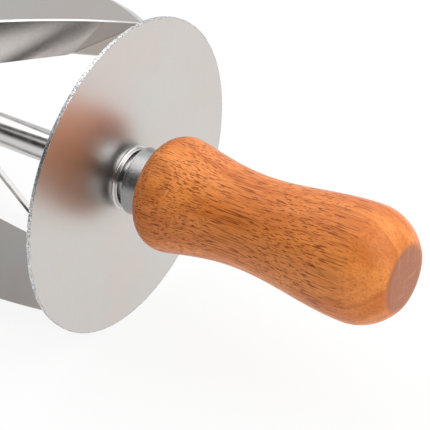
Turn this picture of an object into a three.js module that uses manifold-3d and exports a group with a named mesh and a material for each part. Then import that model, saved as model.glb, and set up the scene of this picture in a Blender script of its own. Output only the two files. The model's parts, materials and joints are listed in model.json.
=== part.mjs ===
// Croissant cutter: an open roller of four slanting blades between two round discs, on an axle
// with a turned wooden handle that spins freely on each end.
//
// Units are millimetres. The origin is the roller's centre, +X runs along the axle to the right
// handle, and +Z is up. Angles round the axle are counted from +Y towards +Z.

import * as THREE from 'three';
import { mergeVertices } from 'three/addons/utils/BufferGeometryUtils.js';
import Module from 'manifold-3d';

const wasm = await Module();
wasm.setup();

// Roller
const ROLLER_RADIUS = 50;
const ROLLER_WIDTH = 147;              // between the outer faces of the two discs
const DISC_THICKNESS = 1.2;
const BLADE_COUNT = 4;
const BLADE_THICKNESS = 1;
const BLADE_EDGE_RADIUS = 49.6;        // the cutting edges stop just inside the discs' rims
const BLADE_BACK_RADIUS = 23.3;        // from the axle's axis to the middle of the straight back edge
const FIRST_BLADE_ANGLE = 125.3;       // middle of the first blade, in degrees
const BLADE_SPAN = 88.6;               // degrees that each blade turns round the axle
const WELD_GAP = 0.3;                  // between a blade and whatever it is welded to

// Axle
const AXLE_RADIUS = 5;
const AXLE_OVERHANG = 48;              // beyond each disc's outer face
const AXLE_CHAMFER = 0.8;
const FIT_GAP = 0.15;                  // radial gap between pieces fixed to each other
const RUNNING_GAP = 0.1;               // radial gap between the axle and its bushes

// Hub of each end. Stations along the axle are counted outwards from the disc's outer face.
const BOSS_RADIUS = 9.4;
const BOSS_END = 2.9;
const BOSS_CHAMFER = 0.4;
const THRUST_WASHER_RADIUS = 8.2;
const THRUST_WASHER_END = 3.5;
const FERRULE_START = 3.7;
const FERRULE_RADIUS = 10.4;
const FERRULE_LIP_RADIUS = 10.6;
const FERRULE_LIP_WIDTH = 0.6;
const FERRULE_SHOULDER = 9.2;          // where the collar ends and the sleeve in the wood starts
const SLEEVE_RADIUS = 8;
const SLEEVE_BORE = 7;
const SLEEVE_END = 42;
const BUSH_LENGTH = 12;
const BUSH_INSET = 0.5;                // how far each bush lies inside the sleeve's end
const END_WASHER_RADIUS = 7.6;
const END_WASHER_START = 42.3;
const END_WASHER_THICKNESS = 1;
const RING_START = 43.5;
const RING_THICKNESS = 1.1;
const RING_RADIUS = 7.2;
const RING_OPENING = 50;               // degrees left open in the retaining ring
const GROOVE_DEPTH = 0.5;
const GROOVE_CLEARANCE = 0.1;

// Wooden handle
const HANDLE_START = 9.36;
const HANDLE_BORE = 8.15;
const HANDLE_BORE_END = 50;
const DRILL_POINT = 4;                 // length of the cone that the drill leaves
const SHOULDER_ROUND = 8;
const SHOULDER_STATION = 17.3;
const SHOULDER_RADIUS = 17.8;
const WAIST_STATION = 44;
const WAIST_RADIUS = 14.3;
const BULB_STATION = 81.5;
const BULB_RADIUS = 17.9;
const BULB_LENGTH = 16.6;              // semi-axis along the axle of the elliptical end
const HANDLE_END = 95.3;
const FACET_RADIUS = 9.4;
const FACET_CHAMFER = 0.4;
const SHOULDER_PULL = 0.15;            // how far each curve runs straight on, as a part of its span
const WAIST_PULL = 0.5;
const BULB_PULL = 1 / 3;

// Facets round each kind of turned piece
const DISC_SEGMENTS = 48;
const SMALL_SEGMENTS = 24;
const HANDLE_SEGMENTS = 36;

// Steps along each curve of an outline
const CURVE_STEPS = 5;
const BLADE_SEGMENTS = 24;
const RING_SEGMENTS = 10;

const discOuterFace = ROLLER_WIDTH / 2;
const discInnerFace = discOuterFace - DISC_THICKNESS;

// ---- materials ----

function satinSteel() {
  return new THREE.MeshStandardMaterial({ color: 0xcfcac4, roughness: 0.38, metalness: 1 });
}

function polishedSteel() {
  return new THREE.MeshStandardMaterial({ color: 0xc4c4c2, roughness: 0.15, metalness: 1 });
}

function ferruleZinc() {
  return new THREE.MeshStandardMaterial({ color: 0xa9abac, roughness: 0.3, metalness: 1 });
}

function blackNylon() {
  return new THREE.MeshStandardMaterial({ color: 0x1b1b1c, roughness: 0.6, metalness: 0 });
}

function bushBronze() {
  return new THREE.MeshStandardMaterial({ color: 0xa87b45, roughness: 0.5, metalness: 1 });
}

function springSteel() {
  return new THREE.MeshStandardMaterial({ color: 0x4b4d50, roughness: 0.4, metalness: 1 });
}

function lacqueredBeech() {
  return new THREE.MeshStandardMaterial({ color: 0xd2824c, roughness: 0.35, metalness: 0 });
}

// ---- helpers ----

function namedMesh(name, geometry, material) {
  const mesh = new THREE.Mesh(geometry, material);
  mesh.name = name;
  return mesh;
}

// A piece turned about the X axis. The outline holds [station, radius] pairs, outer side first in
// the +X direction. An outline that doesn't start on the axis closes on itself, as a ring.
function turned(name, outline, segments, material) {
  const isRing = outline[0][1] > 0;
  const closedOutline = isRing ? [...outline, outline[0]] : outline;
  const profile = closedOutline.map(([station, radius]) => new THREE.Vector2(radius, station));
  const geometry = new THREE.LatheGeometry(profile, segments);
  geometry.rotateZ(-Math.PI / 2);
  return namedMesh(name, geometry, material);
}

function tube(name, start, end, innerRadius, outerRadius, material) {
  const outline = [[start, innerRadius], [start, outerRadius], [end, outerRadius], [end, innerRadius]];
  return turned(name, outline, SMALL_SEGMENTS, material);
}

function toSolid(geometry) {
  const bare = geometry.clone();
  bare.deleteAttribute('normal');
  bare.deleteAttribute('uv');
  const merged = mergeVertices(bare);
  const vertProperties = new Float32Array(merged.attributes.position.array);
  const triVerts = new Uint32Array(merged.index.array);
  return new wasm.Manifold(new wasm.Mesh({ numProp: 3, vertProperties, triVerts }));
}

function toGeometry(solid) {
  const mesh = solid.getMesh();
  const geometry = new THREE.BufferGeometry();
  geometry.setAttribute('position', new THREE.BufferAttribute(mesh.vertProperties, 3));
  geometry.setIndex(new THREE.BufferAttribute(mesh.triVerts, 1));
  geometry.computeVertexNormals();
  return geometry;
}

// ---- roller ----

function makeAxle() {
  const grooveRadius = AXLE_RADIUS - GROOVE_DEPTH;
  const grooveStart = discOuterFace + RING_START - GROOVE_CLEARANCE;
  const grooveEnd = discOuterFace + RING_START + RING_THICKNESS + GROOVE_CLEARANCE;
  const end = discOuterFace + AXLE_OVERHANG;
  const rightHalf = [
    [grooveStart, AXLE_RADIUS],
    [grooveStart, grooveRadius],
    [grooveEnd, grooveRadius],
    [grooveEnd, AXLE_RADIUS],
    [end - AXLE_CHAMFER, AXLE_RADIUS],
    [end, AXLE_RADIUS - AXLE_CHAMFER],
    [end, 0],
  ];
  const leftHalf = rightHalf.map(([station, radius]) => [-station, radius]).reverse();
  return turned('axle_rod', [...leftHalf, ...rightHalf], SMALL_SEGMENTS, polishedSteel());
}

// The disc's facets touch its true radius at their middles, so it rests on the middle of one.
function makeDisc(side) {
  const rim = ROLLER_RADIUS / Math.cos(Math.PI / DISC_SEGMENTS);
  const bore = AXLE_RADIUS + FIT_GAP;
  const outline = [[discInnerFace, bore], [discInnerFace, rim], [discOuterFace, rim], [discOuterFace, bore]];
  const disc = turned(`end_disc_${side}`, outline, DISC_SEGMENTS, satinSteel());
  disc.geometry.rotateX(Math.PI / DISC_SEGMENTS);
  return disc;
}

// One entry per blade. The turn is +1 where a blade goes towards greater angles on its way to the
// left disc, and -1 where it goes the other way, so neighbours meet in a V on one of the discs.
// A blade lies in a plane through the roller's centre: the axes run along its chord to the left
// disc, outwards from the axle at its middle, and through its thickness.
function layOutBlade(index) {
  const turn = index % 2 === 0 ? 1 : -1;
  const middle = THREE.MathUtils.degToRad(FIRST_BLADE_ANGLE + index * 360 / BLADE_COUNT);
  const halfSpan = THREE.MathUtils.degToRad(BLADE_SPAN / 2);
  const outward = new THREE.Vector3(0, Math.cos(middle), Math.sin(middle));
  const sideways = new THREE.Vector3(0, -Math.sin(middle), Math.cos(middle));
  const halfChord = sideways.multiplyScalar(turn * BLADE_EDGE_RADIUS * Math.sin(halfSpan));
  halfChord.x = -discInnerFace;
  const alongChord = halfChord.clone().normalize();
  const across = new THREE.Vector3().crossVectors(alongChord, outward);
  const axes = new THREE.Matrix4().makeBasis(alongChord, outward, across);
  const slant = Math.hypot(alongChord.y, alongChord.z);
  return { turn, axes, slant, halfLength: halfChord.length() };
}

// The cutting edge is the ellipse in which the blade's plane meets the roller's cylinder, and the
// back edge is straight. The plate runs a little into both discs, and is cut off there later.
function bladePlate(layout) {
  const edgeReach = BLADE_EDGE_RADIUS / layout.slant;
  const end = layout.halfLength + BLADE_THICKNESS;
  const endAngle = Math.acos(end / edgeReach);
  const outline = new THREE.Shape();
  outline.moveTo(-end, BLADE_BACK_RADIUS);
  outline.lineTo(end, BLADE_BACK_RADIUS);
  outline.absellipse(0, 0, edgeReach, BLADE_EDGE_RADIUS, endAngle, Math.PI - endAngle, false, 0);
  const options = { depth: BLADE_THICKNESS, bevelEnabled: false, curveSegments: BLADE_SEGMENTS };
  const plate = new THREE.ExtrudeGeometry(outline, options);
  plate.translate(0, 0, -BLADE_THICKNESS / 2);
  return plate.applyMatrix4(layout.axes);
}

// Two neighbours cross along a seam from their back edges to the disc's rim. Each has a slot over
// half of the seam, so that they interlock. The slot is the neighbour's own plate with a gap round
// it. End is +1 at the left disc and -1 at the right one. Half is +1 for a slot from the middle of
// the seam to the disc, and -1 for one from the middle of the seam to the back edges.
function slotFor(neighbour, end, half) {
  const seamMiddle = (BLADE_BACK_RADIUS / neighbour.slant + neighbour.halfLength) / 2;
  const length = neighbour.halfLength;
  const start = seamMiddle - WELD_GAP * half;
  const slot = new THREE.BoxGeometry(length, 2 * BLADE_EDGE_RADIUS, BLADE_THICKNESS + 2 * WELD_GAP);
  slot.translate(end * (start + half * length / 2), BLADE_EDGE_RADIUS, 0);
  return slot.applyMatrix4(neighbour.axes);
}

function makeBlade(layouts, index) {
  const layout = layouts[index];
  const leftNeighbour = layouts.at((index + layout.turn) % BLADE_COUNT);
  const rightNeighbour = layouts.at((index - layout.turn) % BLADE_COUNT);
  const clearWidth = 2 * (discInnerFace - WELD_GAP);
  const beyondRims = 4 * ROLLER_RADIUS;
  const betweenDiscs = new THREE.BoxGeometry(clearWidth, beyondRims, beyondRims);
  const solid = toSolid(bladePlate(layout))
    .intersect(toSolid(betweenDiscs))
    .subtract(toSolid(slotFor(leftNeighbour, 1, layout.turn)))
    .subtract(toSolid(slotFor(rightNeighbour, -1, -layout.turn)));
  return namedMesh(`cutting_blade_${index + 1}`, toGeometry(solid), satinSteel());
}

function makeBlades() {
  const layouts = Array.from({ length: BLADE_COUNT }, (_, index) => layOutBlade(index));
  return layouts.map((_, index) => makeBlade(layouts, index));
}

// ---- one end: hub, bearing and handle, with the station 0 on the disc's outer face ----

function makeHubBoss(side) {
  const bore = AXLE_RADIUS + FIT_GAP;
  const outline = [
    [0, bore],
    [0, BOSS_RADIUS],
    [BOSS_END - BOSS_CHAMFER, BOSS_RADIUS],
    [BOSS_END, BOSS_RADIUS - BOSS_CHAMFER],
    [BOSS_END, bore],
  ];
  return turned(`hub_boss_${side}`, outline, SMALL_SEGMENTS, polishedSteel());
}

function makeThrustWasher(side) {
  const bore = AXLE_RADIUS + FIT_GAP;
  return tube(`thrust_washer_${side}`, BOSS_END, THRUST_WASHER_END, bore, THRUST_WASHER_RADIUS, blackNylon());
}

// A collar with a thin lip beside the disc, and a sleeve that is pressed into the handle.
function makeFerrule(side) {
  const lipEnd = FERRULE_START + FERRULE_LIP_WIDTH;
  const outline = [
    [FERRULE_START, SLEEVE_BORE],
    [FERRULE_START, FERRULE_LIP_RADIUS],
    [lipEnd, FERRULE_LIP_RADIUS],
    [lipEnd, FERRULE_RADIUS],
    [FERRULE_SHOULDER, FERRULE_RADIUS],
    [FERRULE_SHOULDER, SLEEVE_RADIUS],
    [SLEEVE_END, SLEEVE_RADIUS],
    [SLEEVE_END, SLEEVE_BORE],
  ];
  return turned(`ferrule_${side}`, outline, SMALL_SEGMENTS, ferruleZinc());
}

function makeBush(name, start) {
  const bore = AXLE_RADIUS + RUNNING_GAP;
  return tube(name, start, start + BUSH_LENGTH, bore, SLEEVE_BORE - FIT_GAP, bushBronze());
}

function makeEndWasher(side) {
  const end = END_WASHER_START + END_WASHER_THICKNESS;
  const bore = AXLE_RADIUS + FIT_GAP;
  return tube(`end_washer_${side}`, END_WASHER_START, end, bore, END_WASHER_RADIUS, polishedSteel());
}

// An open spring ring that snaps into the axle's groove.
function makeRetainingRing(side) {
  const innerRadius = AXLE_RADIUS - GROOVE_DEPTH + FIT_GAP;
  const firstAngle = THREE.MathUtils.degToRad(RING_OPENING / 2);
  const lastAngle = 2 * Math.PI - firstAngle;
  const outline = new THREE.Shape();
  outline.absarc(0, 0, RING_RADIUS, firstAngle, lastAngle, false);
  outline.absarc(0, 0, innerRadius, lastAngle, firstAngle, true);
  const options = { depth: RING_THICKNESS, bevelEnabled: false, curveSegments: RING_SEGMENTS };
  const geometry = new THREE.ExtrudeGeometry(outline, options);
  geometry.rotateY(Math.PI / 2);
  geometry.translate(RING_START, 0, 0);
  return namedMesh(`retaining_ring_${side}`, geometry, springSteel());
}

// The handle's outer curve: a round shoulder at the ferrule, a waist, and an elliptical bulb
// that ends in a small flat facet.
function handleCurve() {
  const shoulderCentre = SHOULDER_RADIUS - SHOULDER_ROUND;
  const firstAngle = Math.PI - Math.acos((SHOULDER_STATION - HANDLE_START) / SHOULDER_ROUND);
  const lastAngle = Math.acos((HANDLE_END - FACET_CHAMFER - BULB_STATION) / BULB_LENGTH);
  const toWaist = WAIST_STATION - SHOULDER_STATION;
  const toBulb = BULB_STATION - WAIST_STATION;

  const curve = new THREE.Path();
  curve.absarc(SHOULDER_STATION, shoulderCentre, SHOULDER_ROUND, firstAngle, Math.PI / 2, true);
  curve.bezierCurveTo(
    SHOULDER_STATION + SHOULDER_PULL * toWaist, SHOULDER_RADIUS,
    WAIST_STATION - WAIST_PULL * toWaist, WAIST_RADIUS,
    WAIST_STATION, WAIST_RADIUS,
  );
  curve.bezierCurveTo(
    WAIST_STATION + BULB_PULL * toBulb, WAIST_RADIUS,
    BULB_STATION - BULB_PULL * toBulb, BULB_RADIUS,
    BULB_STATION, BULB_RADIUS,
  );
  curve.absellipse(BULB_STATION, 0, BULB_LENGTH, BULB_RADIUS, Math.PI / 2, lastAngle, true, 0);
  return curve.getPoints(CURVE_STEPS).map((point) => [point.x, point.y]);
}

function makeHandle(side) {
  const outline = [
    [HANDLE_BORE_END + DRILL_POINT, 0],
    [HANDLE_BORE_END, HANDLE_BORE],
    [HANDLE_START, HANDLE_BORE],
    ...handleCurve(),
    [HANDLE_END, FACET_RADIUS],
    [HANDLE_END, 0],
  ];
  return turned(`wooden_handle_${side}`, outline, HANDLE_SEGMENTS, lacqueredBeech());
}

function makeEnd(side) {
  const end = new THREE.Group();
  end.add(
    makeHubBoss(side),
    makeThrustWasher(side),
    makeFerrule(side),
    makeBush(`inner_bush_${side}`, FERRULE_START + BUSH_INSET),
    makeBush(`outer_bush_${side}`, SLEEVE_END - BUSH_INSET - BUSH_LENGTH),
    makeEndWasher(side),
    makeRetainingRing(side),
    makeHandle(side),
  );
  end.children.forEach((piece) => piece.geometry.translate(discOuterFace, 0, 0));
  end.add(makeDisc(side));
  end.rotation.z = side === 'left' ? Math.PI : 0;
  return end;
}

const cutter = new THREE.Group();
cutter.add(makeAxle(), ...makeBlades(), makeEnd('right'), makeEnd('left'));

export default cutter;
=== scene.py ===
import json
import math

import bmesh
import bpy
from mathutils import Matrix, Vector


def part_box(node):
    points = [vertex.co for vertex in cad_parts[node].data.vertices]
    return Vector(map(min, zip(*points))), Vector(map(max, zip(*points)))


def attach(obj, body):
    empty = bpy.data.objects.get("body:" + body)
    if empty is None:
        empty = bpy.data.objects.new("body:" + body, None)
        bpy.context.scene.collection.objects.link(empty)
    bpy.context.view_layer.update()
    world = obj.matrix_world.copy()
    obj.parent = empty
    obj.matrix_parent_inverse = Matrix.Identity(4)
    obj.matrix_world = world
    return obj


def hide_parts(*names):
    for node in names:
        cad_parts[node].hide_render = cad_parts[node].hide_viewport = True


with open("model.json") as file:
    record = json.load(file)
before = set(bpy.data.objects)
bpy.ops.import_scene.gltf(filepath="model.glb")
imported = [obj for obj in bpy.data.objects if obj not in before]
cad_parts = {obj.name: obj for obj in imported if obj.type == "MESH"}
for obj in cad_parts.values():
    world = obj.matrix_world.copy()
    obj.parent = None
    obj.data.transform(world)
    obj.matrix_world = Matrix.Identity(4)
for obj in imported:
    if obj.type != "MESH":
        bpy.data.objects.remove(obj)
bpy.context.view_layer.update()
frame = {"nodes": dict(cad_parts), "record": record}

# Croissant cutter: the looks. Shapes are worked out in millimetres, in the CAD model's frame (the
# origin at the roller's centre, +X along the axle to the right handle, +Z up), and each becomes
# metres when its mesh is made.

MM = 0.001
SIDES = {"right": 1, "left": -1}


def node_box(node):
    low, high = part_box(node)
    return low / MM, high / MM


# ---- sizes, from the frame where it holds them ----

disc_low, disc_high = node_box("end_disc_right")
axle_high = node_box("axle_rod")[1]
boss_high = node_box("hub_boss_right")[1]
thrust_high = node_box("thrust_washer_right")[1]
ferrule_low, ferrule_high = node_box("ferrule_right")
handle_low, handle_high = node_box("wooden_handle_right")
ring_low, ring_high = node_box("retaining_ring_right")

DISC_INNER_FACE = disc_low.x
DISC_OUTER_FACE = disc_high.x
ROLLER_RADIUS = disc_high.z
AXLE_END = axle_high.x
AXLE_RADIUS = axle_high.z
BOSS_END = boss_high.x
BOSS_RADIUS = boss_high.z
THRUST_END = thrust_high.x
THRUST_RADIUS = thrust_high.z
FERRULE_START = ferrule_low.x
FERRULE_LIP_RADIUS = ferrule_high.z
SLEEVE_END = ferrule_high.x
HANDLE_START = handle_low.x
HANDLE_END = handle_high.x
HANDLE_RADIUS = handle_high.z
RING_START = ring_low.x
RING_END = ring_high.x

# Roller; angles are in degrees, from +Y to +Z
FLOOR_HEIGHT = -ROLLER_RADIUS
BLADE_COUNT = 4
BLADE_THICKNESS = 1
BLADE_EDGE_RADIUS = 49.6       # the chord's ends lie at this radius, as in the CAD
BLADE_TIP_RADIUS = 49.9        # the edge is ground to this cylinder, just inside the discs' rims
BLADE_BACK_RADIUS = 23.3
FIRST_BLADE_ANGLE = 125.3
BLADE_SPAN = 88.6
SLOT_CLEARANCE = 0.06
SHEET_EDGE_ROUND = 0.16

# Axle, hub and ferrule; the ferrule's shoulder is counted from the disc's outer face
AXLE_CHAMFER = 0.8
GROOVE_DEPTH = 0.5
GROOVE_CLEARANCE = 0.1
BOSS_FILLET = 0.7
BOSS_EDGE_ROUND = 0.3
BOSS_RELIEF_LENGTH = 1.4
BOSS_RELIEF_RADIUS = 7.4
FERRULE_RADIUS = 10.4
FERRULE_LIP_WIDTH = 0.6
FERRULE_SHOULDER = 9.2
SLEEVE_RADIUS = 8
SLEEVE_BORE = 7
BEARING_CLEARANCE = 0.12
TURNED_EDGE_ROUND = 0.15

# Wooden handle; stations and the bore's end are counted from the disc's outer face
HANDLE_BORE = 8.15
HANDLE_BORE_END = 50
DRILL_POINT = 4
SHOULDER_ROUND = 8
SHOULDER_STATION = 17.3
SHOULDER_RADIUS = 17.8
WAIST_STATION = 44
WAIST_RADIUS = 14.3
BULB_STATION = 81.5
BULB_LENGTH = 16.6
FACET_RADIUS = 9.4
FACET_ROUND = 1.1
FACET_CURVE_END = 0.55         # the bulb's curve stops this far short of the flat
FACET_CORNER = 0.165
SHOULDER_PULL = 0.15
WAIST_PULL = 0.5
BULB_PULL = 1 / 3

# Smoothness
DISC_SEGMENTS = 256
HANDLE_SEGMENTS = 128
SMALL_SEGMENTS = 96
BLADE_STATIONS = 96
CURVE_STEPS = 20
CORNER_STEPS = 3
CORNER_ROOM = 2.1              # a rounded corner takes up less than half of either side
ON_AXIS_RADIUS = 1e-6
TURNED_SHARP_ANGLE = 50
BLADE_SHARP_ANGLE = 40

# Camera and light: azimuths run from +X to +Y, and angles are in degrees
VIEW_AZIMUTH = -56.3
VIEW_ELEVATION = 33.9
VIEW_DISTANCE = 703.7
VIEW_TARGET = Vector((98.2, 8.8, -9.5))
VIEW_NEAREST = 50
VIEW_FARTHEST = 20000
LENS = 195.1
SENSOR = 36

# Studio light, with lengths in metres. A dim side is darkest within its core, an angle from its
# direction, and has faded out at its reach
STUDIO_LEVEL = 0.70
DIM_LEVEL = 0.04
DIM_LEFT_SIDE = {"azimuth": -115, "elevation": 45, "core": 28, "reach": 44}
DIM_CAMERA_SIDE = {"azimuth": -56, "elevation": 18, "core": 24, "reach": 46}
SOFTBOX_DISTANCE = 1.5
SOFTBOXES = {
    "key_light": {"azimuth": 80, "elevation": 60, "size": 2.6, "power": 19},
    "side_light": {"azimuth": -166, "elevation": 62, "size": 1.6, "power": 7},
    "front_light": {"azimuth": 0, "elevation": 38, "size": 1.3, "power": 11},
}
FLOOR_GLOW = 0.88
FLOOR_GREY = 0.10
FLOOR_HALF_SIZE = 4.0

# Metals: colours in linear light
SHEET_WARM = (0.650, 0.600, 0.570, 1)
SHEET_COOL = (0.635, 0.622, 0.590, 1)
ZINC_DULL = (0.37, 0.39, 0.41, 1)
ZINC_BRIGHT = (0.50, 0.51, 0.52, 1)
BRONZE_OILY = (0.22, 0.12, 0.05, 1)
BRONZE_BARE = (0.52, 0.33, 0.15, 1)
SPRING_BLUED = (0.05, 0.055, 0.07, 1)
SPRING_OILED = (0.13, 0.12, 0.12, 1)
EDGE_GRAIN_AND_LIGHT_START = 0.5           # the cut edge's grain and painted light show from this far inside the rim, and fully from this far
EDGE_GRAIN_AND_LIGHT_FULL = 0.1            # and fully from this far

# Beech: colours in linear light
BEECH_DEEP = (0.66, 0.185, 0.032, 1)
BEECH_PALE = (0.86, 0.292, 0.068, 1)
LATE_WOOD = (0.36, 0.075, 0.013, 1)
STREAK_WOOD = (0.40, 0.095, 0.018, 1)
PORE_WOOD = (0.30, 0.070, 0.014, 1)
FLECK_WOOD = (0.19, 0.034, 0.008, 1)
END_GRAIN_DEEP = (0.36, 0.122, 0.055, 1)
END_GRAIN_PALE = (0.44, 0.172, 0.085, 1)
FLECKS = {"length": 9.0, "width": 0.34, "least": 0.565}
PORES = {"length": 3.2, "width": 0.26, "least": 0.58}
FLECK_FADE = 0.07
AWAY_FROM_PITH = (0, 30, -24)
YEAR_WIDTH = 8.5
FADE_START = 20                # flecks and pores fade between these distances from the end,
FADE_END = 4
FADED_SHARE = 0.3              # to this share of their strength
END_GRAIN_START = 0.7          # end grain takes over between these distances from the end
END_GRAIN_FULL = 0.1


# ---- node helpers ----

def feed(tree, socket, value):
    """Joins a socket to another node's output, or sets it to a plain value."""
    if isinstance(value, bpy.types.NodeSocket):
        tree.links.new(value, socket)
    else:
        socket.default_value = value


def add_node(tree, kind, inputs=None, **settings):
    node = tree.nodes.new(kind)
    for key, value in settings.items():
        setattr(node, key, value)
    for key, value in (inputs or {}).items():
        feed(tree, node.inputs[key], value)
    return node


class Shader:
    """A material's nodes, with short calls that add one and join it up."""

    # A Mix node has sockets of one name for each kind of value, so its colours go by number
    MIX_FIRST_COLOUR = 6
    MIX_SECOND_COLOUR = 7
    MIX_COLOUR_OUT = 2
    # A noise seldom leaves this range
    NOISE_LOW = 0.3
    NOISE_HIGH = 0.7

    def __init__(self, name, **fixed):
        self.material = bpy.data.materials.new(name)
        self.material.use_nodes = True
        self.tree = self.material.node_tree
        self.surface = self.tree.nodes["Principled BSDF"]
        for key, value in fixed.items():
            self.surface.inputs[key.replace("_", " ")].default_value = value
        self.place = self.add("ShaderNodeTexCoord").outputs["Object"]

    def add(self, kind, inputs=None, **settings):
        return add_node(self.tree, kind, inputs, **settings)

    def set(self, key, value):
        self.tree.links.new(value, self.surface.inputs[key])

    def per_mm(self, x, y, z):
        """The place on the object, with that many pattern units to a millimetre along each axis."""
        inputs = {0: self.place, 1: (x / MM, y / MM, z / MM)}
        return self.add("ShaderNodeVectorMath", inputs, operation="MULTIPLY").outputs[0]

    def noise(self, vector, detail, roughness):
        inputs = {"Vector": vector, "Scale": 1.0, "Detail": detail, "Roughness": roughness}
        return self.add("ShaderNodeTexNoise", inputs).outputs["Fac"]

    def even_noise(self, grains, detail, roughness):
        """Noise that is alike in every direction, with that many grains to a millimetre."""
        return self.noise(self.per_mm(grains, grains, grains), detail, roughness)

    def math(self, operation, first, second=0.0):
        return self.add("ShaderNodeMath", {0: first, 1: second}, operation=operation).outputs[0]

    def remap(self, value, low, high, new_low=0.0, new_high=1.0):
        inputs = {
            "Value": value, "From Min": low, "From Max": high, "To Min": new_low, "To Max": new_high,
        }
        return self.add("ShaderNodeMapRange", inputs, interpolation_type="SMOOTHSTEP").outputs["Result"]

    def spread(self, noise, low, high):
        """A noise's usual range, stretched to run from low to high."""
        return self.remap(noise, self.NOISE_LOW, self.NOISE_HIGH, low, high)

    def mix(self, share, first, second):
        inputs = {"Factor": share, self.MIX_FIRST_COLOUR: first, self.MIX_SECOND_COLOUR: second}
        node = self.add("ShaderNodeMix", inputs, data_type="RGBA")
        return node.outputs[self.MIX_COLOUR_OUT]

    def from_axle(self):
        """Distance from the axle's axis, in millimetres."""
        flat = self.per_mm(0, 1, 1)
        return self.add("ShaderNodeVectorMath", {0: flat}, operation="LENGTH").outputs["Value"]

    def bump(self, height, depth_mm, below=None):
        inputs = {"Height": height, "Strength": 1.0, "Distance": depth_mm * MM}
        if below is not None:
            inputs["Normal"] = below
        return self.add("ShaderNodeBump", inputs).outputs["Normal"]


def grey(level, warmth=0.0):
    return (level * (1 + warmth), level, level * (1 - warmth), 1)


# ---- materials ----

def satin_steel(name, smoothest, roughest, darkest_painted_edge):
    """Rolled stainless sheet, faintly clouded and mottled. Its cut edge, along the rim, is speckled
    from the darkest edge level up to near white. That speckle is the cut's own grain with painted
    glints and painted shade on the discs, and a painted highlight on the blades.
    """
    shader = Shader(name, Metallic=1.0)
    cloud = shader.even_noise(0.035, 3, 0.6)
    mottle = shader.even_noise(1.3, 3, 0.6)
    grain = shader.even_noise(4.5, 2, 0.7)
    speck = shader.even_noise(3.2, 2, 0.7)
    rim_start = ROLLER_RADIUS - EDGE_GRAIN_AND_LIGHT_START
    rim = shader.remap(shader.from_axle(), rim_start, ROLLER_RADIUS - EDGE_GRAIN_AND_LIGHT_FULL)
    body = shader.mix(shader.remap(cloud, 0.35, 0.65), SHEET_WARM, SHEET_COOL)
    body = shader.mix(shader.math("MULTIPLY", mottle, 0.22), body, grey(0.48, 0.03))
    # Painted light: the cut edge's speckle paints glints and shade along the rim over the cut's own
    # grain, and where its darkest level is near white it is a painted highlight
    edge_grain_and_painted_light = shader.mix(shader.remap(speck, 0.42, 0.58), grey(darkest_painted_edge), grey(0.90))
    shader.set("Base Color", shader.mix(rim, body, edge_grain_and_painted_light))
    shader.set("Roughness", shader.spread(mottle, smoothest, roughest))
    shader.set("Normal", shader.bump(grain, 0.0014, shader.bump(mottle, 0.0012)))
    return shader.material


def polished_steel():
    """Drawn and polished bar: near mirror, with faint lines along it."""
    shader = Shader("polished_stainless", Metallic=1.0)
    drawn = shader.noise(shader.per_mm(0.03, 2.6, 2.6), 3, 0.6)
    smudge = shader.even_noise(0.25, 3, 0.55)
    shader.set("Base Color", shader.mix(smudge, grey(0.55, 0.016), grey(0.67, 0.010)))
    shader.set("Roughness", shader.spread(smudge, 0.19, 0.26))
    shader.set("Normal", shader.bump(drawn, 0.004))
    return shader.material


def zinc_steel():
    """Zinc plate over a turned collar: bluish grey, with the tool's fine rings."""
    shader = Shader("zinc_steel", Metallic=1.0)
    rings = shader.noise(shader.per_mm(5.5, 0.02, 0.02), 2, 0.6)
    bloom = shader.even_noise(0.5, 4, 0.6)
    shader.set("Base Color", shader.mix(bloom, ZINC_DULL, ZINC_BRIGHT))
    shader.set("Roughness", shader.spread(bloom, 0.20, 0.30))
    shader.set("Normal", shader.bump(rings, 0.006))
    return shader.material


def black_nylon():
    shader = Shader("black_nylon")
    pebble = shader.even_noise(3, 3, 0.6)
    shader.set("Base Color", shader.mix(pebble, grey(0.010), grey(0.022)))
    shader.set("Roughness", shader.spread(pebble, 0.5, 0.7))
    shader.set("Normal", shader.bump(pebble, 0.01))
    return shader.material


def bush_bronze():
    """Sintered bronze: granular, dark with oil in its pores."""
    shader = Shader("bush_bronze", Metallic=1.0)
    grains = shader.even_noise(4, 3, 0.7)
    shader.set("Base Color", shader.mix(grains, BRONZE_OILY, BRONZE_BARE))
    shader.set("Roughness", shader.spread(grains, 0.35, 0.6))
    shader.set("Normal", shader.bump(grains, 0.015))
    return shader.material


def spring_steel():
    """Blued and oiled spring steel."""
    shader = Shader("spring_steel", Metallic=1.0)
    stain = shader.even_noise(0.8, 4, 0.6)
    shader.set("Base Color", shader.mix(stain, SPRING_BLUED, SPRING_OILED))
    shader.set("Roughness", shader.spread(stain, 0.25, 0.45))
    shader.set("Normal", shader.bump(stain, 0.004))
    return shader.material


def fleck_mask(shader, length, width, least):
    """Spindles along the grain: the peaks of a noise stretched to that length and width in mm."""
    peaks = shader.noise(shader.per_mm(1 / length, 1 / width, 1 / width), 1, 0.5)
    return shader.remap(peaks, least, least + FLECK_FADE)


def growth_lines(shader):
    """Thin late-wood lines: shells round the tree's pith, which lies outside the handle."""
    waver = shader.noise(shader.per_mm(0.015, 0.03, 0.03), 2, 0.5)
    to_pith = {0: shader.per_mm(0.12, 1, 1), 1: AWAY_FROM_PITH}
    offset = shader.add("ShaderNodeVectorMath", to_pith, operation="ADD").outputs[0]
    distance = shader.add("ShaderNodeVectorMath", {0: offset}, operation="LENGTH").outputs["Value"]
    even_years = shader.math("DIVIDE", distance, YEAR_WIDTH)
    years = shader.math("ADD", even_years, shader.math("MULTIPLY", waver, 1.6))
    return shader.remap(shader.math("FRACT", years), 0.80, 0.97)


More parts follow.
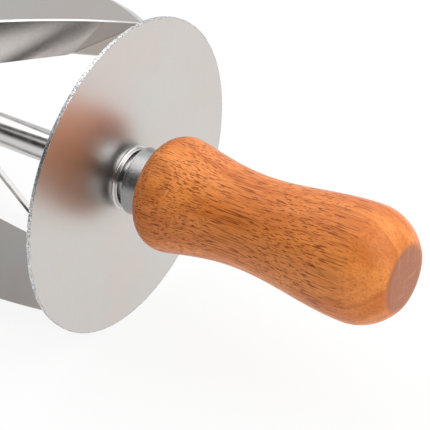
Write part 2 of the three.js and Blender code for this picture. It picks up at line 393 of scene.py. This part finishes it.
def side_grain(shader, streak, pores, flecks):
    """Colour of the turned face, from the broad figure to the ray flecks on top of it."""
    figure = shader.noise(shader.per_mm(0.018, 0.11, 0.11), 4, 0.55)
    colour = shader.mix(shader.remap(figure, 0.35, 0.65), BEECH_DEEP, BEECH_PALE)
    for mask, share, tint in (
        (growth_lines(shader), 0.28, LATE_WOOD),
        (shader.remap(streak, 0.4, 0.75), 0.36, STREAK_WOOD),
        (pores, 0.40, PORE_WOOD),
        (flecks, 0.80, FLECK_WOOD),
    ):
        colour = shader.mix(shader.math("MULTIPLY", mask, share), colour, tint)
    return colour


def end_grain(shader):
    """Colour of the flat on the handle's end: rays one way and rings the other."""
    rays = shader.noise(shader.per_mm(0.0, 0.12, 1.6), 2, 0.6)
    rings = shader.noise(shader.per_mm(0.0, 0.9, 0.06), 2, 0.6)
    lines = shader.math("MAXIMUM", shader.remap(rays, 0.55, 0.70), shader.remap(rings, 0.55, 0.72))
    return shader.mix(lines, END_GRAIN_DEEP, END_GRAIN_PALE)


def lacquered_beech():
    """Beech under clear lacquer: dark ray flecks and fine pores along the grain, and end grain."""
    shader = Shader("lacquered_beech", Coat_Weight=0.08, Coat_Roughness=0.2, Specular_IOR_Level=0.2)
    streak = shader.noise(shader.per_mm(0.05, 1.1, 1.1), 3, 0.6)
    along = shader.add("ShaderNodeSeparateXYZ", {0: shader.per_mm(1, 1, 1)})
    station = shader.math("ABSOLUTE", along.outputs[0])
    fade_start = HANDLE_END - FADE_START
    strength = shader.remap(station, fade_start, HANDLE_END - FADE_END, 1.0, FADED_SHARE)
    every_fleck = fleck_mask(shader, **FLECKS)
    every_pore = fleck_mask(shader, **PORES)
    flecks = shader.math("MULTIPLY", every_fleck, strength)
    pores = shader.math("MULTIPLY", every_pore, strength)

    wood = side_grain(shader, streak, pores, flecks)
    facet = shader.remap(station, HANDLE_END - END_GRAIN_START, HANDLE_END - END_GRAIN_FULL)
    shader.set("Base Color", shader.mix(facet, wood, end_grain(shader)))

    rough = shader.spread(streak, 0.34, 0.46)
    shader.set("Roughness", shader.math("ADD", rough, shader.math("MULTIPLY", flecks, 0.12)))
    sunk = shader.math("MULTIPLY", shader.math("MAXIMUM", flecks, pores), -1.0)
    shader.set("Normal", shader.bump(sunk, 0.02, shader.bump(streak, 0.015)))
    return shader.material


# ---- mesh helpers ----

def add_object(name, data):
    added = bpy.data.objects.new(name, data)
    bpy.context.scene.collection.objects.link(added)
    return added


def closed_mesh(name, points, faces):
    """A mesh from points in millimetres, with every face turned outwards."""
    mesh = bpy.data.meshes.new(name)
    mesh.from_pydata([Vector(point) * MM for point in points], [], faces)
    shape = bmesh.new()
    shape.from_mesh(mesh)
    bmesh.ops.recalc_face_normals(shape, faces=shape.faces)
    shape.to_mesh(mesh)
    shape.free()
    return mesh


def new_piece(name, points, faces, body, material_slot, replaced, finish=None):
    """A piece from points in millimetres, which stands for a CAD node and rides on its body. Its
    finish is the slot's own material, unless another is named."""
    mesh = closed_mesh(name, points, faces)
    piece = add_object(name, mesh)
    mesh.materials.append(materials[finish or material_slot])
    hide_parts(replaced)
    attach(piece, body)
    return piece


def smooth(piece, sharp_angle):
    piece.data.shade_smooth()
    piece.data.set_sharp_from_angle(angle=math.radians(sharp_angle))
    weighted = piece.modifiers.new("flat_faces_stay_flat", "WEIGHTED_NORMAL")
    weighted.keep_sharp = True


def round_corners(outline, radius):
    """A closed outline with each corner rounded by that radius."""
    rounded = []
    for index, corner in enumerate(outline):
        corner = Vector(corner)
        before = Vector(outline[index - 1])
        after = Vector(outline[(index + 1) % len(outline)])
        shorter_side = min((before - corner).length, (after - corner).length)
        reach = min(radius, shorter_side / CORNER_ROOM)
        start = corner + (before - corner).normalized() * reach
        end = corner + (after - corner).normalized() * reach
        for step in range(CORNER_STEPS + 1):
            share = step / CORNER_STEPS
            on_first = start.lerp(corner, share)
            on_second = corner.lerp(end, share)
            rounded.append(on_first.lerp(on_second, share))
    return rounded


def turn_outline(outline, segments, closed):
    """Points and faces of an outline of (x, radius) pairs turned round the X axis."""
    points = []
    rings = []
    for station, radius in outline:
        on_axis = radius < ON_AXIS_RADIUS
        count = 1 if on_axis else segments
        rings.append([len(points) + step for step in range(count)])
        for step in range(count):
            angle = 2 * math.pi * step / segments
            points.append((station, radius * math.cos(angle), radius * math.sin(angle)))
    pairs = list(zip(rings, rings[1:]))
    if closed:
        pairs.append((rings[-1], rings[0]))
    faces = []
    for first, second in pairs:
        for step in range(segments):
            after = (step + 1) % segments
            corners = [first[step % len(first)], first[after % len(first)]]
            corners += [second[after % len(second)], second[step % len(second)]]
            faces.append(list(dict.fromkeys(corners)))
    return points, faces


def turned(name, outline, segments, body, material_slot, replaced, side=1, closed=True):
    """A turned piece. The outline is drawn for the right end, and the left end mirrors it."""
    mirrored = [(side * station, radius) for station, radius in outline]
    points, faces = turn_outline(mirrored, segments, closed)
    piece = new_piece(name, points, faces, body, material_slot, replaced)
    smooth(piece, TURNED_SHARP_ANGLE)


def ring(start, end, bore, radius, corner=TURNED_EDGE_ROUND):
    return round_corners([(start, bore), (start, radius), (end, radius), (end, bore)], corner)


def bezier(first, first_pull, second_pull, second):
    """A curve from the first point, which is left out, to the second, drawn towards the pulls."""
    points = []
    for step in range(1, CURVE_STEPS + 1):
        t = step / CURVE_STEPS
        weights = ((1 - t) ** 3, 3 * t * (1 - t) ** 2, 3 * t * t * (1 - t), t ** 3)
        corners = (first, first_pull, second_pull, second)
        shares = [Vector(corner) * weight for corner, weight in zip(corners, weights)]
        points.append(sum(shares, Vector((0, 0))))
    return points


def ellipse_arc(centre, half_length, half_height, first_angle, last_angle):
    points = []
    for step in range(CURVE_STEPS + 1):
        angle = first_angle + (last_angle - first_angle) * step / CURVE_STEPS
        offset = Vector((half_length * math.cos(angle), half_height * math.sin(angle)))
        points.append(Vector(centre) + offset)
    return points


# ---- roller ----

def make_axle():
    groove_radius = AXLE_RADIUS - GROOVE_DEPTH
    right = [
        (RING_START - GROOVE_CLEARANCE, AXLE_RADIUS),
        (RING_START - GROOVE_CLEARANCE, groove_radius),
        (RING_END + GROOVE_CLEARANCE, groove_radius),
        (RING_END + GROOVE_CLEARANCE, AXLE_RADIUS),
        (AXLE_END - AXLE_CHAMFER, AXLE_RADIUS),
        (AXLE_END, AXLE_RADIUS - AXLE_CHAMFER),
        (AXLE_END, 0),
    ]
    left = [(-station, radius) for station, radius in reversed(right)]
    turned("axle_rod_turned", left + right, SMALL_SEGMENTS, "roller", "polished_stainless",
           "axle_rod", closed=False)


def make_disc(end, side):
    outline = ring(DISC_INNER_FACE, DISC_OUTER_FACE, AXLE_RADIUS, ROLLER_RADIUS, SHEET_EDGE_ROUND)
    turned(f"end_disc_{end}_sheet", outline, DISC_SEGMENTS, "roller", "satin_stainless",
           f"end_disc_{end}", side)


class Blade:
    """Where one blade lies: axes along its chord, outwards at its middle, and through it."""

    def __init__(self, index):
        self.turn = 1 if index % 2 == 0 else -1
        middle = math.radians(FIRST_BLADE_ANGLE + index * 360 / BLADE_COUNT)
        half_span = math.radians(BLADE_SPAN / 2)
        self.outward = Vector((0, math.cos(middle), math.sin(middle)))
        sideways = Vector((0, -math.sin(middle), math.cos(middle)))
        half_chord = sideways * self.turn * BLADE_EDGE_RADIUS * math.sin(half_span)
        half_chord.x = -DISC_INNER_FACE
        self.half_length = half_chord.length
        self.along = half_chord.normalized()
        self.across = self.along.cross(self.outward)
        self.slant = math.hypot(self.along.y, self.along.z)

    def place(self, u, v, w):
        return self.along * u + self.outward * v + self.across * w

    def edge_height(self, u, w):
        """Height at which the plate meets the cylinder that its cutting edge is ground to."""
        foot = self.place(u, 0, w)
        return math.sqrt(BLADE_TIP_RADIUS ** 2 - foot.y ** 2 - foot.z ** 2)


def blade_section(blade, share):
    """The sheet's cross-section, a rounded strip, at a share of the half length. Its ends lean so
    that they lie flat on the discs."""
    half = BLADE_THICKNESS / 2
    u = share * blade.half_length
    lean = blade.across.x / abs(blade.along.x)
    tops = [(blade.edge_height(u + w * lean, w), w) for w in (-half, half)]
    strip = [(BLADE_BACK_RADIUS, -half), *tops, (BLADE_BACK_RADIUS, half)]
    return [blade.place(u + w * lean, v, w) for v, w in round_corners(strip, SHEET_EDGE_ROUND)]


def slot_cutter(neighbour, start, finish):
    """A box round a neighbour's sheet, between two places along its chord and past its edge."""
    half_width = BLADE_THICKNESS / 2 + SLOT_CLEARANCE
    corners = [
        neighbour.place(u, v, w)
        for u in (start, finish) for v in (0, 2 * ROLLER_RADIUS) for w in (-half_width, half_width)
    ]
    faces = [(0, 1, 3, 2), (4, 5, 7, 6), (0, 1, 5, 4), (2, 3, 7, 6), (0, 2, 6, 4), (1, 3, 7, 5)]
    return add_object("slot", closed_mesh("slot", corners, faces))


def cut_away(piece, cutter):
    """Takes the cutter's shape out of a piece's mesh, and the cutter out of the scene."""
    cut = piece.modifiers.new("slot", "BOOLEAN")
    cut.operation = "DIFFERENCE"
    cut.solver = "EXACT"
    cut.object = cutter
    bpy.context.view_layer.update()
    evaluated = piece.evaluated_get(bpy.context.evaluated_depsgraph_get())
    result = bpy.data.meshes.new_from_object(evaluated)
    piece.modifiers.clear()
    piece.data = result
    bpy.data.objects.remove(cutter)


def cut_slot(piece, neighbour, end, half):
    """Cuts the lap slot for a neighbour. End is +1 at the left disc and -1 at the right one. Half is
    +1 for the half of the seam by the disc, and -1 for the half by the back edges."""
    seam_middle = (BLADE_BACK_RADIUS / neighbour.slant + neighbour.half_length) / 2
    finish = end * (seam_middle + half * neighbour.half_length)
    cut_away(piece, slot_cutter(neighbour, end * seam_middle, finish))


def blade_surface(blade):
    """Points and faces of the whole sheet, from its cross-sections one after another."""
    points = []
    faces = []
    for station in range(BLADE_STATIONS + 1):
        section = blade_section(blade, 2 * station / BLADE_STATIONS - 1)
        count = len(section)
        points += section
        if station == 0:
            continue
        here = station * count
        for step in range(count):
            after = (step + 1) % count
            faces.append((here - count + step, here - count + after, here + after, here + step))
    faces.append(tuple(range(count)))
    faces.append(tuple(range(len(points) - count, len(points))))
    return points, faces


def make_blade(blades, index):
    blade = blades[index]
    points, faces = blade_surface(blade)
    name = f"cutting_blade_{index + 1}"
    piece = new_piece(f"{name}_sheet", points, faces, "roller", "satin_stainless", name,
                      finish="blade_stainless")
    left_neighbour = blades[(index + blade.turn) % BLADE_COUNT]
    right_neighbour = blades[(index - blade.turn) % BLADE_COUNT]
    cut_slot(piece, left_neighbour, 1, blade.turn)
    cut_slot(piece, right_neighbour, -1, -blade.turn)
    smooth(piece, BLADE_SHARP_ANGLE)


# ---- hub and bearing of each end ----

def make_hub_boss(end, side):
    """A turned boss with a small weld fillet at its foot, and a relief beside the running gap."""
    foot = ellipse_arc((DISC_OUTER_FACE + BOSS_FILLET, BOSS_RADIUS + BOSS_FILLET), BOSS_FILLET,
                       BOSS_FILLET, math.pi, 1.5 * math.pi)
    outline = [Vector((DISC_OUTER_FACE, AXLE_RADIUS))] + foot
    step = BOSS_END - BOSS_RELIEF_LENGTH
    outline += ellipse_arc((step - BOSS_EDGE_ROUND, BOSS_RADIUS - BOSS_EDGE_ROUND), BOSS_EDGE_ROUND,
                           BOSS_EDGE_ROUND, math.pi / 2, 0)
    outline += [
        Vector((step, BOSS_RELIEF_RADIUS)),
        Vector((BOSS_END, BOSS_RELIEF_RADIUS)),
        Vector((BOSS_END, AXLE_RADIUS)),
    ]
    turned(f"hub_boss_{end}_turned", outline, SMALL_SEGMENTS, "roller", "polished_stainless",
           f"hub_boss_{end}", side)


def make_thrust_washer(end, side):
    outline = ring(BOSS_END, THRUST_END, AXLE_RADIUS, THRUST_RADIUS)
    turned(f"thrust_washer_{end}_turned", outline, SMALL_SEGMENTS, "roller", "black_nylon",
           f"thrust_washer_{end}", side)


def make_ferrule(end, side):
    lip_end = FERRULE_START + FERRULE_LIP_WIDTH
    shoulder = DISC_OUTER_FACE + FERRULE_SHOULDER
    outline = round_corners([
        (FERRULE_START, SLEEVE_BORE),
        (FERRULE_START, FERRULE_LIP_RADIUS),
        (lip_end, FERRULE_LIP_RADIUS),
        (lip_end, FERRULE_RADIUS),
        (shoulder, FERRULE_RADIUS),
        (shoulder, SLEEVE_RADIUS),
        (SLEEVE_END, SLEEVE_RADIUS),
        (SLEEVE_END, SLEEVE_BORE),
    ], TURNED_EDGE_ROUND)
    turned(f"ferrule_{end}_turned", outline, SMALL_SEGMENTS, f"handle_{end}", "zinc_steel",
           f"ferrule_{end}", side)


def make_plain_rings(end, side):
    """Bushes and end washer: the CAD rings, with more facets and broken edges."""
    for name, body, material_slot in (
        ("inner_bush", f"handle_{end}", "bush_bronze"),
        ("outer_bush", f"handle_{end}", "bush_bronze"),
        ("end_washer", "roller", "polished_stainless"),
    ):
        low, high = node_box(f"{name}_right")
        outline = ring(low.x, high.x, AXLE_RADIUS + BEARING_CLEARANCE, high.z)
        turned(f"{name}_{end}_turned", outline, SMALL_SEGMENTS, body, material_slot,
               f"{name}_{end}", side)


# ---- wooden handle ----

def turned_grip():
    """The grip's outline, from the shoulder's round through the waist and over the bulb."""
    shoulder = DISC_OUTER_FACE + SHOULDER_STATION
    waist = DISC_OUTER_FACE + WAIST_STATION
    bulb = DISC_OUTER_FACE + BULB_STATION
    to_waist = waist - shoulder
    to_bulb = bulb - waist
    shoulder_angle = math.pi - math.acos((shoulder - HANDLE_START) / SHOULDER_ROUND)
    end_angle = math.acos((HANDLE_END - FACET_CURVE_END - bulb) / BULB_LENGTH)
    outline = ellipse_arc((shoulder, SHOULDER_RADIUS - SHOULDER_ROUND), SHOULDER_ROUND, SHOULDER_ROUND,
                          shoulder_angle, math.pi / 2)
    outline += bezier(
        (shoulder, SHOULDER_RADIUS), (shoulder + SHOULDER_PULL * to_waist, SHOULDER_RADIUS),
        (waist - WAIST_PULL * to_waist, WAIST_RADIUS), (waist, WAIST_RADIUS),
    )
    outline += bezier(
        (waist, WAIST_RADIUS), (waist + BULB_PULL * to_bulb, WAIST_RADIUS),
        (bulb - BULB_PULL * to_bulb, HANDLE_RADIUS), (bulb, HANDLE_RADIUS),
    )
    outline += ellipse_arc((bulb, 0), BULB_LENGTH, HANDLE_RADIUS, math.pi / 2, end_angle)[1:]
    return outline


def handle_outline():
    bore_end = DISC_OUTER_FACE + HANDLE_BORE_END
    bore = [
        Vector((bore_end + DRILL_POINT, 0)),
        Vector((bore_end, HANDLE_BORE)),
        Vector((HANDLE_START, HANDLE_BORE)),
    ]
    end_facet = [
        Vector((HANDLE_END - FACET_CORNER, FACET_RADIUS)),
        Vector((HANDLE_END, FACET_RADIUS - FACET_ROUND)),
        Vector((HANDLE_END, 0)),
    ]
    return bore + turned_grip() + end_facet


def make_handle(end, side):
    turned(f"wooden_handle_{end}_turned", handle_outline(), HANDLE_SEGMENTS, f"handle_{end}",
           "lacquered_beech", f"wooden_handle_{end}", side, closed=False)


# ---- stage ----

def make_floor():
    """A plain pale table, lit mostly by its own even glow."""
    half = FLOOR_HALF_SIZE
    height = FLOOR_HEIGHT * MM
    corners = [(x, y, height) for x, y in ((-half, -half), (half, -half), (half, half), (-half, half))]
    mesh = bpy.data.meshes.new("floor")
    mesh.from_pydata(corners, [], [(0, 1, 2, 3)])
    floor = add_object("floor", mesh)
    shader = Shader("floor", Base_Color=grey(FLOOR_GREY), Roughness=0.9, Specular_IOR_Level=0.0,
                    Emission_Color=grey(1), Emission_Strength=FLOOR_GLOW)
    mesh.materials.append(shader.material)


def direction_to(azimuth, elevation):
    """Unit vector towards an azimuth, counted from +X to +Y, and an elevation, in degrees."""
    turn = math.radians(azimuth)
    rise = math.radians(elevation)
    return Vector((math.cos(rise) * math.cos(turn), math.cos(rise) * math.sin(turn), math.sin(rise)))


def dimmed(tree, direction, azimuth, elevation, core, reach):
    """A factor that is DIM_LEVEL within core degrees of a direction, and 1 beyond reach degrees."""
    towards = {0: direction, 1: direction_to(azimuth, elevation)}
    facing = add_node(tree, "ShaderNodeVectorMath", towards, operation="DOT_PRODUCT")
    fade = {
        "Value": facing.outputs["Value"],
        "From Min": math.cos(math.radians(reach)),
        "From Max": math.cos(math.radians(core)),
        "To Min": 1.0,
        "To Max": DIM_LEVEL,
    }
    return add_node(tree, "ShaderNodeMapRange", fade, interpolation_type="SMOOTHSTEP").outputs["Result"]


def multiplied(tree, first, second):
    return add_node(tree, "ShaderNodeMath", {0: first, 1: second}, operation="MULTIPLY").outputs[0]


def make_world():
    """A pale studio with two dim sides, to the left of the camera and behind it, for the metal."""
    world = bpy.data.worlds.new("studio")
    bpy.context.scene.world = world
    world.use_nodes = True
    tree = world.node_tree
    background = tree.nodes["Background"]
    direction = add_node(tree, "ShaderNodeTexCoord").outputs["Generated"]
    left_side = dimmed(tree, direction, **DIM_LEFT_SIDE)
    camera_side = dimmed(tree, direction, **DIM_CAMERA_SIDE)
    both_sides = multiplied(tree, left_side, camera_side)
    feed(tree, background.inputs["Strength"], multiplied(tree, both_sides, STUDIO_LEVEL))
    feed(tree, background.inputs["Color"], grey(1))


def make_softbox(name, azimuth, elevation, size, power):
    """A square light that faces the object."""
    light = bpy.data.lights.new(name, "AREA")
    light.shape = "SQUARE"
    light.size = size
    light.energy = power
    lamp = add_object(name, light)
    away = direction_to(azimuth, elevation)
    lamp.location = away * SOFTBOX_DISTANCE
    lamp.rotation_mode = "QUATERNION"
    lamp.rotation_quaternion = away.to_track_quat("Z", "Y")


def make_camera():
    """A camera at the photo's angle, that looks at VIEW_TARGET."""
    back = direction_to(VIEW_AZIMUTH, VIEW_ELEVATION)
    data = bpy.data.cameras.new("camera")
    data.lens = LENS
    data.sensor_width = SENSOR
    data.clip_start = VIEW_NEAREST * MM
    data.clip_end = VIEW_FARTHEST * MM
    camera = add_object("camera", data)
    camera.location = (VIEW_TARGET + back * VIEW_DISTANCE) * MM
    camera.rotation_mode = "QUATERNION"
    camera.rotation_quaternion = back.to_track_quat("Z", "Y")
    bpy.context.scene.camera = camera
    bpy.context.scene.view_settings.view_transform = "Standard"


make_camera()
make_floor()
make_world()
for softbox_name, softbox in SOFTBOXES.items():
    make_softbox(softbox_name, **softbox)

materials = {
    # The discs' cut edge speckle runs down to near black: painted shade among painted glints on the rim
    "satin_stainless": satin_steel(
        "satin_stainless", smoothest=0.32, roughest=0.36, darkest_painted_edge=0.12,
    ),
    # The blades' cut edge stays near white: a painted highlight along the ground edge
    "blade_stainless": satin_steel(
        "blade_stainless", smoothest=0.13, roughest=0.17, darkest_painted_edge=0.82,
    ),
    "polished_stainless": polished_steel(),
    "zinc_steel": zinc_steel(),
    "black_nylon": black_nylon(),
    "bush_bronze": bush_bronze(),
    "spring_steel": spring_steel(),
    "lacquered_beech": lacquered_beech(),
}

# Every CAD solid gets its slot's material: the retaining rings are shown as the CAD has them
for part in frame["record"]["subparts"]:
    cad_node = frame["nodes"][part["node"]]
    cad_node.data.materials.clear()
    cad_node.data.materials.append(materials[part["material_slot"]])

make_axle()
blade_layouts = [Blade(index) for index in range(BLADE_COUNT)]
for blade_index in range(BLADE_COUNT):
    make_blade(blade_layouts, blade_index)
for end_name, end_side in SIDES.items():
    make_disc(end_name, end_side)
    make_hub_boss(end_name, end_side)
    make_thrust_washer(end_name, end_side)
    make_ferrule(end_name, end_side)
    make_plain_rings(end_name, end_side)
    make_handle(end_name, end_side)
